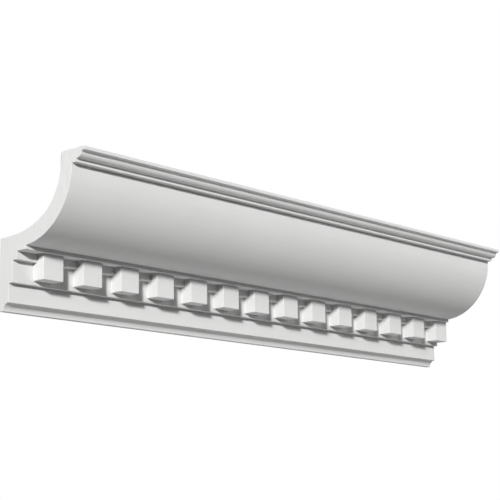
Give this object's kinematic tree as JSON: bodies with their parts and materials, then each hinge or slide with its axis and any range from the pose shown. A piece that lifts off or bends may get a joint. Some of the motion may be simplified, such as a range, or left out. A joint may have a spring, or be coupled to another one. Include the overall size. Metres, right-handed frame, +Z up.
{
  "type": "dentil cornice",
  "caption": "White cast cornice length with a stepped crown, a large convex quarter round, a row of dentils, a frieze with a small cavetto, and a hollow back; bonds to wall and ceiling.",
  "frame": {"origin": "middle of the flat face that is bonded to the wall, at mid-length", "axes": "+X along the length, towards the end that finishes with a dentil; +Y into the wall; +Z up to the ceiling"},
  "size_m": [1, 0.1669, 0.1986],
  "materials": {
    "plaster": "smooth matt white cast gypsum plaster, unpainted"
  },
  "bodies": {
    "root": {"cornice": "plaster"}
  },
  "joints": []
}
